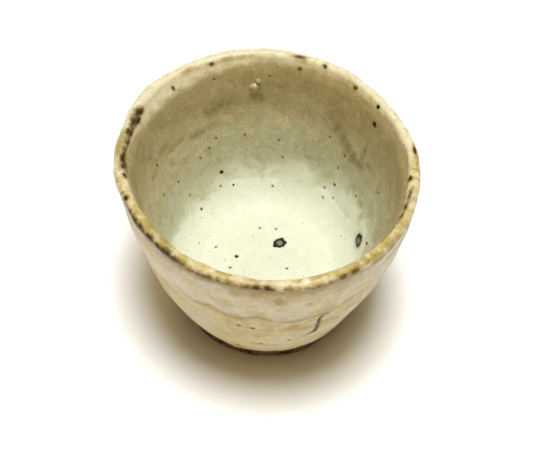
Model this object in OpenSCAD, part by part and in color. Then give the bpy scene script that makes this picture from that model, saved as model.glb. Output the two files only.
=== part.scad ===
// Hand-thrown stoneware soba cup: a clay body, its glaze coats and what is melted into them.
// Millimetres. The origin is the middle of the foot on the table, and +Z is up.

/* [Cup] */
// Mean outer diameter at the lip, with its glaze
rim_d = 84; // [78:0.5:92]
// Height from the table to the top of the lip
cup_h = 61; // [55:0.5:68]
// Mean outer diameter of the flat ring that stands on the table
foot_d = 48; // [42:0.5:54]
// Lean of the wall from upright at the lip, in degrees
lip_lean = 7; // [4:0.5:10]
// Thickness of the fired clay at the lip
lip_t = 2.2; // [1.6:0.1:3.2]
// Thickness of the fired clay wall where it meets the floor
base_t = 4.2; // [3.4:0.1:6]

/* [Thrown by hand] */
// How much the lip is longer than it is wide
oval = 6.4; // [0:0.1:8]
// Azimuth of the lip's longer diameter, in degrees
oval_azimuth = 126; // [0:1:180]
// How far the middle of the lip lies to one side of the middle of the foot
lean = 0.5; // [0:0.1:1.5]
// Azimuth that the lip leans to, in degrees
lean_azimuth = 100; // [0:1:360]

/* [Floor and foot] */
// Height of the clay floor above the table
floor_z = 12; // [10.5:0.1:14]
// Radius of the bend from the floor to the wall, inside
floor_bend_r = 10.5; // [7:0.5:12]
// Width of the flat foot ring
foot_ring_w = 6.5; // [4:0.5:9]
// Depth of the hollow trimmed out under the foot
foot_hollow_h = 4; // [2:0.1:5]
// How far the side of that hollow slopes in towards its top
foot_hollow_slope = 2; // [0.5:0.1:3]
// Bevel round the outside of the foot ring
foot_bevel = 0.6; // [0.3:0.1:1.2]

/* [Glaze] */
// Thickness of the glaze on the walls and the lip
glaze_t = 0.4; // [0.25:0.05:0.7]
// Depth of the glaze pooled on the floor
pool_t = 0.9; // [0.7:0.05:1.5]
// Thickness that the second dip adds to the upper outside
second_t = 0.25; // [0.15:0.05:0.4]
// Height of the second dip's lower edge above the table
second_z = 42; // [38:0.5:48]
// Height of the bare clay above the table
bare_h = 1.6; // [1.4:0.1:4]
// How far down the inside the lip coat runs
lip_in = 3; // [2.8:0.1:6]
// How far down the outside the lip coat runs
lip_out = 4; // [3:0.1:7]

/* [Inclusions] */
// How far an iron spot stands out of the glaze
spot_proud = 0.12; // [0.05:0.01:0.3]
// Diameter of the iron spot on the floor
floor_spot_d = 3.4; // [2:0.1:5]
// Diameter of the iron spot low on the wall
wall_spot_d = 4; // [2:0.1:5]
// Diameter of the small iron specks
speck_d = 1.5; // [1:0.1:2.5]
// How far the spot on the floor lies from the axis
floor_spot_out = 8; // [6:0.5:13]
// How far the speck on the floor lies from the axis
floor_speck_out = 10; // [6:0.5:13]
// How far the low wall spot lies from the axis, along the clay
wall_spot_out = 31; // [30:0.2:36]
// How far the wall speck lies from the axis, along the clay
wall_speck_out = 36; // [33:0.2:50]
// How far the highest speck lies below the top of the lip
high_speck_drop = 8.4; // [7.6:0.1:16]
// Height of the upper pair of specks outside
outer_speck_z = 35.5; // [28:0.5:36]
// Height of the lower pair of specks outside
low_speck_z = 22.5; // [8:0.5:25]
// Diameter of the larger glaze bead
big_bead_d = 2.8; // [1.5:0.1:4]
// Diameter of the smaller glaze bead, which sits above the larger one
small_bead_d = 1.6; // [1:0.1:2.4]
// How far the middle of the larger bead lies below the top of the lip
bead_drop = 11; // [9.4:0.1:16]

/* [Hidden] */
$fn = 200;

// Segments in each arc of the outlines
wall_n = 12;
bend_n = 12;
lip_n = 20;
edge_n = 4;
// Sectors that make up a turned solid
sectors = 4;

// The wall is two arcs that run into the round of the lip at the lip's lean. The outer one starts at
// the top of the foot's bevel, and the inner one leaves the wall's thickness at the floor.
lip_r = lip_t / 2;
lip_c = [rim_d / 2 - glaze_t - lip_r, cup_h - glaze_t - lip_r];
a_lip = -lip_lean;
lip_dir = [cos(a_lip), sin(a_lip)];
foot_start = [foot_d / 2 + foot_bevel, foot_bevel];
foot_from_lip = foot_start - lip_c;
reach = foot_from_lip * lip_dir;
out_r = (foot_from_lip * foot_from_lip - 2 * lip_r * reach + lip_r * lip_r) / (2 * (lip_r - reach));
out_c = lip_c - (out_r - lip_r) * lip_dir;
in_top = lip_c - lip_r * lip_dir;
in_base = polar(out_c, out_r - base_t, asin((floor_z - out_c[1]) / out_r)) - in_top;
in_r = -(in_base * in_base) / (2 * (in_base * lip_dir));
in_c = in_top - in_r * lip_dir;

// Angles on the wall's arcs where the coats begin and end
a_foot = out_angle(foot_bevel);
a_bare = out_angle(bare_h);
a_second = out_angle(second_z);
a_out = out_angle(cup_h - lip_out);
a_in = in_angle(cup_h - lip_in);

// Iron spots: [azimuth, place on the profile, diameter]
inner_spots = [
    [62, along_inside(floor_spot_out), floor_spot_d],
    [169, along_inside(floor_speck_out), speck_d],
    [7, along_inside(wall_spot_out), wall_spot_d],
    [118, along_inside(wall_speck_out), speck_d],
    [34, below_lip(high_speck_drop), speck_d]
];
outer_spots = [
    [-101, up_outside(outer_speck_z), speck_d],
    [-96, up_outside(outer_speck_z), speck_d],
    [-80, up_outside(low_speck_z), speck_d],
    [-93, up_outside(low_speck_z), speck_d]
];
// Glaze beads, in the same form
beads = [
    [96, below_lip(bead_drop), big_bead_d],
    [93.8, below_lip(bead_drop - (big_bead_d + small_bead_d) / 2), small_bead_d]
];

// Spots and cuts reach past what they meet by this much
past = 1;
// Ends of an outline's stretches that lie nearer than this are one point
meet = 0.01;

// A cup turned true is stretched along one diameter, narrowed across it, and sheared to one side
stretch = oval / rim_d / 2;
stretch_x = 1 + stretch * cos(2 * oval_azimuth);
stretch_y = 1 - stretch * cos(2 * oval_azimuth);
stretch_xy = stretch * sin(2 * oval_azimuth);
lean_x = lean * cos(lean_azimuth) / cup_h;
lean_y = lean * sin(lean_azimuth) / cup_h;
throwing = [
    [stretch_x, stretch_xy, lean_x, 0],
    [stretch_xy, stretch_y, lean_y, 0],
    [0, 0, 1, 0],
    [0, 0, 0, 1]
];

function out_angle(z) = asin((z - out_c[1]) / out_r);
function in_angle(z) = asin((z - in_c[1]) / in_r);
function polar(c, r, a) = c + r * [cos(a), sin(a)];
function arc(c, r, a0, a1, n) = [for (i = [0:n]) polar(c, r, a0 + (a1 - a0) * i / n)];
function out_arc(t, a0, a1) = arc(out_c, out_r + t, a0, a1, wall_n);
function in_arc(t, a0, a1) = arc(in_c, in_r - t, a0, a1, wall_n);
// Angle, in degrees, of a length d along an arc of radius r
function turn(d, r) = d / r * 180 / PI;
function back(points) = [for (i = [len(points) - 1:-1:0]) points[i]];
// A closed outline, with only one point where two of its stretches meet
function outline(points) =
    [for (i = [0:len(points) - 1]) if (norm(points[i] - points[i > 0 ? i - 1 : len(points) - 1]) > meet) points[i]];

// Centre of the bend of radius rb that touches an inner wall of radius r and a floor at height z
function bend_c(r, z, rb) = [in_c[0] + sqrt(pow(r - rb, 2) - pow(z + rb - in_c[1], 2)), z + rb];
function bend_angle(c) = atan2(c[1] - in_c[1], c[0] - in_c[0]);

// The inside line from the end of the lip coat down to the axis, t off the wall and t_floor off the floor
function inner_line(t, t_floor) =
    let (r = in_r - t, rb = floor_bend_r - t, c = bend_c(r, floor_z + t_floor, rb), a_bend = bend_angle(c))
    concat(in_arc(t, a_in, a_bend), arc(c, rb, a_bend, -90, bend_n), [[0, floor_z + t_floor]]);

// The outside line from the foot's bevel up to the end of the lip coat, t off the clay
function outer_line(t) =
    concat(out_arc(t, a_foot, a_bare), out_arc(t, a_bare, a_second), out_arc(t, a_second, a_out));

// The lip line from the outside over the top to the inside, t off the clay
function lip_line(t) =
    concat(out_arc(t, a_out, a_lip), arc(lip_c, lip_r + t, a_lip, a_lip + 180, lip_n),
        in_arc(t, a_lip, a_in));

// A rolled lower edge of thickness t that ends at angle a on an outer wall of radius r
function rolled_low(r, t, a) =
    let (c = polar(out_c, r, a + turn(t, r)))
    concat(arc(c, t, a, a - 90, edge_n), [polar(out_c, r, a)]);

// The same edge turned up
function rolled_high(r, t, a) =
    let (c = polar(out_c, r, a - turn(t, r)))
    concat([polar(out_c, r, a)], arc(c, t, a + 90, a, edge_n));

// Place and outward angle of a point on the inside, d along the clay from the axis
function along_inside(d) =
    let (c = bend_c(in_r, floor_z, floor_bend_r), a_bend = bend_angle(c), on_bend = d - c[0],
        a = -90 + turn(on_bend, floor_bend_r),
        a_wall = a_bend + turn(on_bend - floor_bend_r * (a_bend + 90) * PI / 180, in_r))
    on_bend < 0 ? [[d, floor_z], -90]
    : a < a_bend ? [polar(c, floor_bend_r, a), a]
    : [polar(in_c, in_r, a_wall), a_wall];

// The same for a point on the inner wall at a drop below the top of the lip
function below_lip(drop) = let (a = in_angle(cup_h - drop)) [polar(in_c, in_r, a), a];

// The same for a point on the outside at height z
function up_outside(z) = let (a = out_angle(z)) [polar(out_c, out_r, a), a];

// The point at an azimuth that lies t off a place on the inside, and where throwing moves a point
function off_inside(azimuth, place, t) =
    let (p = polar(place[0], -t, place[1])) [p[0] * cos(azimuth), p[0] * sin(azimuth), p[1]];
function thrown_point(p) = let (q = throwing * concat(p, [1])) [q[0], q[1], q[2]];

// Moves its children to a place on the profile, turned so that +Z points out of the clay on that side
module at_place(azimuth, place, side) {
    rotate([0, 0, azimuth])
        translate([place[0][0], 0, place[0][1]])
            rotate([0, 90 - place[1] + (side == "inside" ? 180 : 0), 0])
                children();
}

// Moves a cup turned true to where the potter's hands left it
module thrown() {
    multmatrix(throwing) children();
}

// An outline turned round the axis and moved in the same way, in equal sectors
module thrown_turn() {
    for (i = [0:sectors - 1])
        thrown()
            rotate([0, 0, 360 / sectors * i])
                rotate_extrude(angle = 360 / sectors)
                    children();
}

module spot_pins(spots, side) {
    for (spot = spots)
        at_place(spot[0], spot[1], side)
            translate([0, 0, -past])
                cylinder(d = spot[2], h = pool_t + 2 * past);
}

// What is cut off below the table, so that the foot stands flat
module below_table() {
    translate([0, 0, -2 * past])
        cylinder(d = rim_d, h = 2 * past);
}

module clay_body() {
    hollow_r = foot_d / 2 - foot_ring_w;
    hollow_grow = foot_hollow_slope / foot_hollow_h * past;
    foot_line = [
        [0, foot_hollow_h], [hollow_r - foot_hollow_slope, foot_hollow_h],
        [hollow_r + hollow_grow, -past], [foot_d / 2, -past], [foot_d / 2, 0]
    ];
    color("#7a6248")
        difference() {
            thrown_turn()
                polygon(outline(concat(foot_line, outer_line(0), lip_line(0), inner_line(0, 0))));
            below_table();
        }
}

module inner_glaze() {
    color("#dfe2c4")
        difference() {
            thrown_turn()
                polygon(outline(concat(inner_line(0, 0), back(inner_line(glaze_t, pool_t)))));
            thrown()
                spot_pins(inner_spots, "inside");
        }
}

module outer_glaze() {
    color("#d8ccb4")
        difference() {
            thrown_turn()
                polygon(outline(concat(
                    out_arc(0, a_bare, a_second), out_arc(0, a_second, a_out),
                    back(out_arc(glaze_t, a_second, a_out)),
                    back(out_arc(glaze_t, a_bare + turn(glaze_t, out_r), a_second)),
                    rolled_low(out_r, glaze_t, a_bare))));
            thrown()
                spot_pins(outer_spots, "outside");
        }
}

module upper_glaze() {
    r = out_r + glaze_t;
    color("#e2d8c8")
        difference() {
            thrown_turn()
                polygon(outline(concat(
                    out_arc(glaze_t, a_second, a_out),
                    rolled_high(r, second_t, a_out),
                    rolled_low(r, second_t, a_second))));
            thrown()
                spot_pins(outer_spots, "outside");
        }
}

module rim_glaze() {
    color("#a88a4c")
        thrown_turn()
            polygon(outline(concat(lip_line(0), back(lip_line(glaze_t)))));
}

module iron_spots() {
    color("#3a3128")
        thrown() {
            intersection() {
                spot_pins(inner_spots, "inside");
                rotate_extrude()
                    polygon(outline(concat(
                        inner_line(0, 0), back(inner_line(glaze_t + spot_proud, pool_t + spot_proud)))));
            }
            intersection() {
                spot_pins(outer_spots, "outside");
                rotate_extrude()
                    polygon(outline(concat(outer_line(0), back(outer_line(glaze_t + spot_proud)))));
            }
        }
}

module glaze_beads() {
    color("#c9bd96")
        intersection() {
            for (bead = beads)
                translate(thrown_point(off_inside(bead[0], bead[1], glaze_t)))
                    sphere(d = bead[2]);
            thrown_turn()
                polygon(outline(concat(inner_line(glaze_t, pool_t), [[0, cup_h]])));
        }
}

clay_body();
inner_glaze();
outer_glaze();
upper_glaze();
rim_glaze();
iron_spots();
glaze_beads();
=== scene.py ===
# Hand-thrown soba cup: clay body, glaze coats, iron spots and glaze beads, in a plain studio.
import math

import bpy
import numpy as np
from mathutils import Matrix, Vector
from mathutils.bvhtree import BVHTree


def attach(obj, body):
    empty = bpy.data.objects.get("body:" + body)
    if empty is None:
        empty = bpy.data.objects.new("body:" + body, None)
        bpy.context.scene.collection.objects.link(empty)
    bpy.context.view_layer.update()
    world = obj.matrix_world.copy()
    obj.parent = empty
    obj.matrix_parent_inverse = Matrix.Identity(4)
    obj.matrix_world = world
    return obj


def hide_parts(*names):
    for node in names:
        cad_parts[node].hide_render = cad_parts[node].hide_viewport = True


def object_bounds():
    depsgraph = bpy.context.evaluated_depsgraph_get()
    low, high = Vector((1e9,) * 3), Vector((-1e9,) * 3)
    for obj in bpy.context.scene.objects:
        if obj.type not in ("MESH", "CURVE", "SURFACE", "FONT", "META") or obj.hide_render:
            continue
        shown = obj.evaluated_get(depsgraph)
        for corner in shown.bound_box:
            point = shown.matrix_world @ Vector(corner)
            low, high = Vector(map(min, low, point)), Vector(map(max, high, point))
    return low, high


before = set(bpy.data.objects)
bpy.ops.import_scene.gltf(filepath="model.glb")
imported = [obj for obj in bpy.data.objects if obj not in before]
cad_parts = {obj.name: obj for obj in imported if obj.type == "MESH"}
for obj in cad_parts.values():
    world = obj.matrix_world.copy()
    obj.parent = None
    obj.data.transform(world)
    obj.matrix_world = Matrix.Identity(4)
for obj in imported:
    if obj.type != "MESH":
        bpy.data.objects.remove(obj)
cad_low, cad_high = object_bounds()

MM = 0.001
DEG = math.pi / 180

# Sizes of the cup, as the solids have them
CUP_H = cad_high.z
RIM_R = 42 * MM
FOOT_R = 24 * MM
FOOT_BEVEL = 0.6 * MM
FOOT_RING_W = 6.5 * MM
FOOT_HOLLOW_H = 4 * MM
FOOT_HOLLOW_SLOPE = 2 * MM
LIP_LEAN = 7 * DEG
LIP_T = 2.2 * MM
BASE_T = 4.2 * MM
FLOOR_Z = 12 * MM
BEND_R = 10.5 * MM
GLAZE_T = 0.4 * MM
POOL_T = 0.9 * MM
SECOND_T = 0.25 * MM
BARE_H = 1.6 * MM
SECOND_Z = 42 * MM

# How far the thrown cup strays from a turned one
OVAL = 0.046
OVAL_AZ = 125.6 * DEG
LEAN = 0.5 * MM
LEAN_AZ = 100 * DEG
SWAY = 0.22 * MM
SWAY_SIZE = 17 * MM
LIP_WAVE = 0.2 * MM
# Shares of the height, and radii, between which the sway and the lumps set in
SWAY_UP = (0.05, 0.3)
SWAY_R = (0, 12 * MM)
LUMP_UP = (0.02, 0.2)
LUMP_R = (12 * MM, 28 * MM)
# Lumps of the wall: azimuth and half width in degrees, height, half height and push outwards in millimetres
LUMPS = [(196, 20, 26, 18, 0.9), (184, 18, 61, 16, 0.4), (115, 26, 61, 30, -0.9)]

# Heel of bare clay at the foot, with its waves and its extra width in patches as shares of it
HEEL = 0.8 * MM
HEEL_H = 2.2 * MM
HEEL_FADE = 1 * MM
HEEL_WAVE = 0.15
HEEL_PATCH = 0.5
# Patches where the bare clay reaches highest, the one at the front left partly put there as painted contact
# shadow: azimuth and half width in degrees, and a share of BARE_PATCH
BARE_AND_SHADE_PATCHES = [(292, 11, 1.0), (226, 17, 1.5)]
# Spiral left by the trimming tool under the foot, and the radii between which it sets in
TURN_W = 2.4 * MM
TURN_H = 0.12 * MM
TURN_R = (1 * MM, 3 * MM)
TURN_FADE = 1 * MM

# Edges of the coats: how far they lie past the lip or above their line, and how far they wander
LIP_INNER = 1.6 * MM
LIP_INNER_WAVE = 0.5 * MM
LIP_OUTER = 3.0 * MM
LIP_OUTER_WAVE = 0.6 * MM
SCALLOPS = 7
SCALLOP_H = 3.2 * MM
SECOND_WAVE = 0.6 * MM
BARE_RISE = 1.8 * MM
BARE_PATCH = 3 * MM
BARE_WAVE = 0.6 * MM

# Share of the floor's radius where the pool starts to thin out
POOL_FULL = 0.6
# Unevenness of the glaze all over, and more at the lip: height, size of the lumps and seed
COAT_WAVES = [(0.045 * MM, 6 * MM, 21), (0.012 * MM, 2.2 * MM, 22)]
LIP_WAVES = [(0.14 * MM, 6 * MM, 23), (0.05 * MM, 1.8 * MM, 24)]
LIP_WAVES_HALF = 3 * MM
# How much the glaze thickens below the lip inside, which rounds its inner edge, and how much more of that
# there is at the sides and at the broad lip
LIP_ROLL = 0.9 * MM
ROLL_SIDES = 0.3
ROLL_BROAD = 0.8
# Lengths from the lip where that starts and is full, and past the lip's top where it ends
ROLL_START = 24 * MM
ROLL_FULL = 4.5 * MM
ROLL_END = 0.6 * MM
# Where the pale lip runs furthest down inside, at the back left: azimuth and half width in degrees
BROAD_LIP = (140, 24)
# Lengths over which the coats thin out at their edges
BARE_TAPER = 1.6 * MM
SECOND_TAPER = 0.6 * MM
SECOND_FADE = 4 * MM
# Ridge along the second dip's lower edge: its place and half width, and its height as a share of the dip's
RIDGE_PLACE = 0.8 * MM
RIDGE_HALF = 0.7 * MM
RIDGE = 0.5

# The photograph: its size in pixels, and the camera that took it
PHOTO_W = 550
PHOTO_H = 450
SENSOR = 36.0
FOCAL_PX = 1242.7
CAMERA_ELEVATION = 53.09 * DEG
CAMERA_DISTANCE = 360 * MM
CAMERA_TARGET = Vector((2.24, 0, 31.18)) * MM

# Columns round the cup, and rows along the top of each coat and along its underside
COLUMNS = 720
INNER_ROWS = 116
LIP_ROWS = 56
OUTER_ROWS = 100
UPPER_ROWS = 44
UNDER_ROWS = 8
# Points along the clay: the flat of the hollow, its slope, the foot ring, the bevel, the low wall, the rest
FOOT_POINTS = (40, 8, 12, 4)
LOW_WALL_POINTS = 16
WALL_POINTS = 70
LOW_WALL = 5 * MM
# Radius of the smallest ring, at the axis
AXIS_R = 0.02 * MM


# Maths of the profile. A place on it is its length q along the clay, from the middle of the floor up
# the inner wall, over the lip and down the outside to the foot.
def unit(angle):
    return np.array([math.cos(angle), math.sin(angle)])


LIP_R = LIP_T / 2
LIP_C = np.array([RIM_R - GLAZE_T - LIP_R, CUP_H - GLAZE_T - LIP_R])
A_LIP = -LIP_LEAN
foot_from_lip = np.array([FOOT_R + FOOT_BEVEL, FOOT_BEVEL]) - LIP_C
reach = foot_from_lip @ unit(A_LIP)
OUT_R = (foot_from_lip @ foot_from_lip - 2 * LIP_R * reach + LIP_R**2) / (2 * (LIP_R - reach))
OUT_C = LIP_C - (OUT_R - LIP_R) * unit(A_LIP)
in_top = LIP_C - LIP_R * unit(A_LIP)
in_base = OUT_C + (OUT_R - BASE_T) * unit(math.asin((FLOOR_Z - OUT_C[1]) / OUT_R)) - in_top
IN_R = -(in_base @ in_base) / (2 * (in_base @ unit(A_LIP)))
IN_C = in_top - IN_R * unit(A_LIP)
bend_z = FLOOR_Z + BEND_R
BEND_C = np.array([IN_C[0] + math.sqrt((IN_R - BEND_R) ** 2 - (bend_z - IN_C[1]) ** 2), bend_z])
A_BEND = math.atan2(BEND_C[1] - IN_C[1], BEND_C[0] - IN_C[0])
A_FOOT = math.asin((FOOT_BEVEL - OUT_C[1]) / OUT_R)

Q_BEND = BEND_C[0]
Q_WALL = Q_BEND + BEND_R * (A_BEND + math.pi / 2)
Q_LIP = Q_WALL + IN_R * (A_LIP - A_BEND)
Q_TOP = Q_LIP + LIP_R * (math.pi / 2 - A_LIP)
Q_OUT = Q_LIP + LIP_R * math.pi
Q_FOOT = Q_OUT + OUT_R * (A_LIP - A_FOOT)


def skin(q, t):
    """Radius and height of the turned cup's surface at length q, a thickness t off the clay."""
    floor = q < Q_BEND
    bend = (q >= Q_BEND) & (q < Q_WALL)
    inner = (q >= Q_WALL) & (q < Q_LIP)
    lip = (q >= Q_LIP) & (q < Q_OUT)
    angle = np.select(
        [floor, bend, inner, lip],
        [
            np.full_like(q, -math.pi / 2),
            (q - Q_BEND) / BEND_R - math.pi / 2,
            A_BEND + (q - Q_WALL) / IN_R,
            A_LIP + math.pi - (q - Q_LIP) / LIP_R,
        ],
        A_LIP - (q - Q_OUT) / OUT_R,
    )
    radius = np.select([bend, inner, lip], [BEND_R - t, IN_R - t, LIP_R + t], OUT_R + t)
    mid_r = np.select([bend, inner, lip], [BEND_C[0], IN_C[0], LIP_C[0]], OUT_C[0])
    mid_z = np.select([bend, inner, lip], [BEND_C[1], IN_C[1], LIP_C[1]], OUT_C[1])
    r = np.where(floor, q, mid_r + radius * np.cos(angle))
    z = np.where(floor, FLOOR_Z + t, mid_z + radius * np.sin(angle))
    return r, z


def q_outside(z):
    return Q_OUT + OUT_R * (A_LIP - math.asin((z - OUT_C[1]) / OUT_R))


def smooth(low, high, x):
    s = np.clip((x - low) / (high - low), 0, 1)
    return s * s * (3 - 2 * s)


def bell(x, half):
    """1 in the middle, and less on both sides of it, by a half width."""
    return np.exp(-((x / half) ** 2))


def rounded(x, width):
    """From 0 at an edge to 1 a width away from it, as round as a quarter of a circle."""
    return np.sqrt(np.clip(1 - np.clip(1 - x / width, 0, 1) ** 2, 0, 1))


def angle_from(az, middle):
    return (az - middle * DEG + math.pi) % (2 * math.pi) - math.pi


def waves(points, size, seed, count=18):
    """A smooth random field of about unit strength, with lumps of about the given size."""
    rng = np.random.default_rng(seed)
    total = np.zeros(points.shape[:-1])
    for _ in range(count):
        way = rng.normal(size=3)
        way *= rng.uniform(0.6, 1.5) * math.pi / (size * np.linalg.norm(way))
        total += np.cos(points @ way + rng.uniform(0, 2 * math.pi))
    return total / math.sqrt(count / 2)


def ring_waves(az, counts, seed):
    """A smooth random field round the cup, from waves that go round it whole numbers of times."""
    rng = np.random.default_rng(seed)
    total = sum(np.cos(n * az + rng.uniform(0, 2 * math.pi)) * rng.uniform(0.5, 1) for n in counts)
    return total / math.sqrt(len(counts) / 2)


def turned(az, q, t):
    r, z = skin(q, t)
    return np.stack([r * np.cos(az), r * np.sin(az), z], -1)


def thrown(points):
    """Moves points of the turned cup to where the potter's hands left them."""
    x, y, z = points[..., 0], points[..., 1], points[..., 2]
    r = np.hypot(x, y)
    az = np.arctan2(y, x)
    up = np.clip(z / CUP_H, 0, 1)
    grow = 1 + OVAL * up * np.cos(2 * (az - OVAL_AZ))
    shift = up**2 * LIP_WAVE * ring_waves(az, (3, 4, 5), 3)
    shift = shift + SWAY * smooth(*SWAY_UP, up) * waves(points, SWAY_SIZE, 4) * smooth(*SWAY_R, r)
    for middle, half, height, half_height, push in LUMPS:
        near = bell(angle_from(az, middle), half * DEG) * bell(z / MM - height, half_height)
        shift = shift + push * MM * near * smooth(*LUMP_UP, up) * smooth(*LUMP_R, r)
    scale = grow + shift / np.maximum(r, 1 * MM)
    lift = up**4 * LIP_WAVE * ring_waves(az, (2, 3, 5, 6), 5)
    lean_x = LEAN * math.cos(LEAN_AZ)
    lean_y = LEAN * math.sin(LEAN_AZ)
    return np.stack([x * scale + lean_x * up, y * scale + lean_y * up, z + lift], -1)


# Edges of the coats round the cup, as lengths along the clay
def lip_inner_edge(az):
    return Q_LIP - LIP_INNER + LIP_INNER_WAVE * ring_waves(az, (5, 8, 13, 19), 11)


def lip_outer_edge(az):
    return Q_OUT + LIP_OUTER + LIP_OUTER_WAVE * ring_waves(az, (4, 9, 14, 21), 12)


def second_edge(az):
    scallops = np.abs(np.sin(SCALLOPS * az + 1.3 * np.sin(3 * az) + 0.7))
    wave = SECOND_WAVE * ring_waves(az, (2, 3, 5), 13)
    return q_outside(SECOND_Z) + SCALLOP_H * (scallops - 0.6) + wave


def bare_and_shade_patch(az):
    """How much higher the bare clay reaches, as a share of BARE_PATCH; at the front left partly as painted
    contact shadow.
    """
    return sum(rise * bell(angle_from(az, middle), half * DEG) for middle, half, rise in BARE_AND_SHADE_PATCHES)


def bare_edge(az):
    ragged = BARE_WAVE * ring_waves(az, (3, 6, 11, 17, 23), 14)
    return q_outside(BARE_H) - BARE_RISE - BARE_PATCH * bare_and_shade_patch(az) - ragged


def broad_lip(az):
    middle, half = BROAD_LIP
    return bell(angle_from(az, middle), half * DEG)


def lumps(points, layers):
    return sum(height * waves(points, size, seed) for height, size, seed in layers)


def coat(az, q):
    """Thickness of the glaze on the clay."""
    points = turned(az, q, np.zeros_like(q))
    pooled = 1 - smooth(POOL_FULL * Q_BEND, Q_WALL, q)
    t = GLAZE_T + (POOL_T - GLAZE_T) * pooled + lumps(points, COAT_WAVES)
    t = t + bell(q - Q_TOP, LIP_WAVES_HALF) * lumps(points, LIP_WAVES)
    roll = smooth(Q_LIP - ROLL_START, Q_LIP - ROLL_FULL, q)
    roll = roll * (1 - smooth(Q_LIP - ROLL_FULL, Q_TOP + ROLL_END, q))
    t = t + LIP_ROLL * roll * (1 + ROLL_SIDES * np.abs(np.cos(az)) + ROLL_BROAD * broad_lip(az))
    return np.where(q > Q_OUT, t * rounded(bare_edge(az) - q, BARE_TAPER), t)


def second_coat(az, q):
    """Thickness that the second dip adds."""
    above_edge = second_edge(az) - q
    below_lip = q - lip_outer_edge(az)
    ridge = 1 + RIDGE * bell(above_edge - RIDGE_PLACE, RIDGE_HALF)
    return SECOND_T * ridge * rounded(above_edge, SECOND_TAPER) * smooth(0, SECOND_FADE, below_lip)


def both_coats(az, q):
    return coat(az, q) + second_coat(az, q)


# Masks that the materials read, one number per point

# Lower line of the darker glaze on the inner wall, as azimuth in degrees and height in millimetres
RUN_LINE = [
    (5, 49), (25, 49), (35, 46), (46, 44), (54, 44), (66, 45), (80, 44), (92, 41), (97, 40), (102, 43),
    (116, 44), (135, 47), (155, 52), (180, 52), (215, 47), (250, 50), (290, 46), (330, 50),
]
RUN_FADE = (-4 * MM, 3 * MM)
RUN_WANDER = 1.2 * MM
# How far the pool's edge wanders, and how much higher it stands towards an azimuth in degrees,
# which sets in between two radii
WANDER_SIZE = 5 * MM
LEVEL_WANDER = 0.8 * MM
LEVEL_TILT = 2 * MM
LEVEL_TILT_AZ = 25
LEVEL_TILT_R = (8 * MM, 24 * MM)
# Where the pool has run into streaks low on the inner wall: azimuth and half width in degrees
STREAKED = (12, 26)

# Lengths outwards from the lip's top. The outside's glaze sets in between two of them.
OUTSIDE_FROM = (-0.5 * MM, 3 * MM)
# How far the lip's colour reaches inwards, with more at the back and at the broad lip, and outwards
LIP_IN = 2.2 * MM
LIP_IN_BACK = 2.2 * MM
LIP_IN_BROAD = 4 * MM
LIP_OUT = 2.8 * MM
LIP_FADE = (0.3, 1.2)
# Dark lines along the lip: middle and half width
OUTER_LINE = (1.9 * MM, 0.9 * MM)
INNER_LINE = (-1.7 * MM, 0.5 * MM)
CHAR_LINE = (-1.4 * MM, 0.95 * MM)
# Azimuths in degrees between which the last of these lines sets in and ends
CHAR_START = (147, 154)
CHAR_END = (183, 194)
# Where the stain below the lip starts, is full and ends
STAIN_FROM = (1.2 * MM, 2.4 * MM, 6.5 * MM)

# Painted shadow line under the second dip's edge and its ridge, and how the colours fade there and at the
# bare clay, where the brown is partly stain and partly painted contact shade
EDGE_SHADOW_LINE = (-0.5 * MM, 1.3 * MM)
UPPER_FADE = 2.5 * MM
FOOT_STAIN_AND_SHADE_FADE = (-7 * MM, -1 * MM)


def line_height(az, knots):
    places, heights = zip(*knots)
    return np.interp(np.degrees(az) % 360, places, heights, period=360) * MM


def band(far, line):
    middle, half = line
    return bell(far - middle, half)


def char_line(az, far):
    """The line that iron has burnt along the lip's inner edge at the left."""
    turn = np.degrees(az) % 360
    there = smooth(*CHAR_START, turn) * (1 - smooth(*CHAR_END, turn))
    middle, half = CHAR_LINE
    return there * bell(far - middle, half * (1 + 0.3 * ring_waves(az, (11, 17, 26), 32)))


def stain_below(far):
    start, full, end = STAIN_FROM
    return smooth(start, full, far) * (1 - smooth(full, end, far))


def masks(az, q, points):
    z = points[..., 2]
    from_axis = np.hypot(points[..., 0], points[..., 1])
    far = q - Q_TOP
    edge = second_edge(az) - q
    outside = smooth(*OUTSIDE_FROM, far)
    front = 1 - smooth(-0.5, 0.5, np.sin(az))
    wander = waves(points, WANDER_SIZE, 31)
    tilt = LEVEL_TILT * np.cos(angle_from(az, LEVEL_TILT_AZ)) * smooth(*LEVEL_TILT_R, from_axis)
    run = smooth(*RUN_FADE, z - line_height(az, RUN_LINE) + RUN_WANDER * wander)
    streak_az, streak_half = STREAKED
    lip_in = LIP_IN + LIP_IN_BACK * smooth(0, 0.8, np.sin(az)) + LIP_IN_BROAD * broad_lip(az)
    return {
        "level": (z - tilt + LEVEL_WANDER * wander) / CUP_H,
        "streaked": bell(angle_from(az, streak_az), streak_half * DEG),
        "run": run * (1 - outside),
        "outside": outside,
        "lip": 1 - smooth(*LIP_FADE, np.where(far < 0, -far / lip_in, far / LIP_OUT)),
        "gold": front,
        "charred": char_line(az, far),
        "brink": band(far, OUTER_LINE) * (0.45 + 0.55 * front) + 0.5 * band(far, INNER_LINE) * front,
        "stain": stain_below(far) * (0.4 + 0.6 * front),
        "upper": smooth(-UPPER_FADE, UPPER_FADE, edge) * outside,
        # Painted shadow line under the second dip's edge
        "edge_shadow": band(edge, EDGE_SHADOW_LINE) * outside,
        # Brown above the bare clay, partly stain and partly painted contact shade
        "bare": smooth(*FOOT_STAIN_AND_SHADE_FADE, q - bare_edge(az)) * outside,
    }


# Meshes
def set_mask(mesh, key, values):
    layer = mesh.attributes.new(key, "FLOAT", "POINT")
    layer.data.foreach_set("value", np.ravel(values).astype(np.float32))


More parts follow.
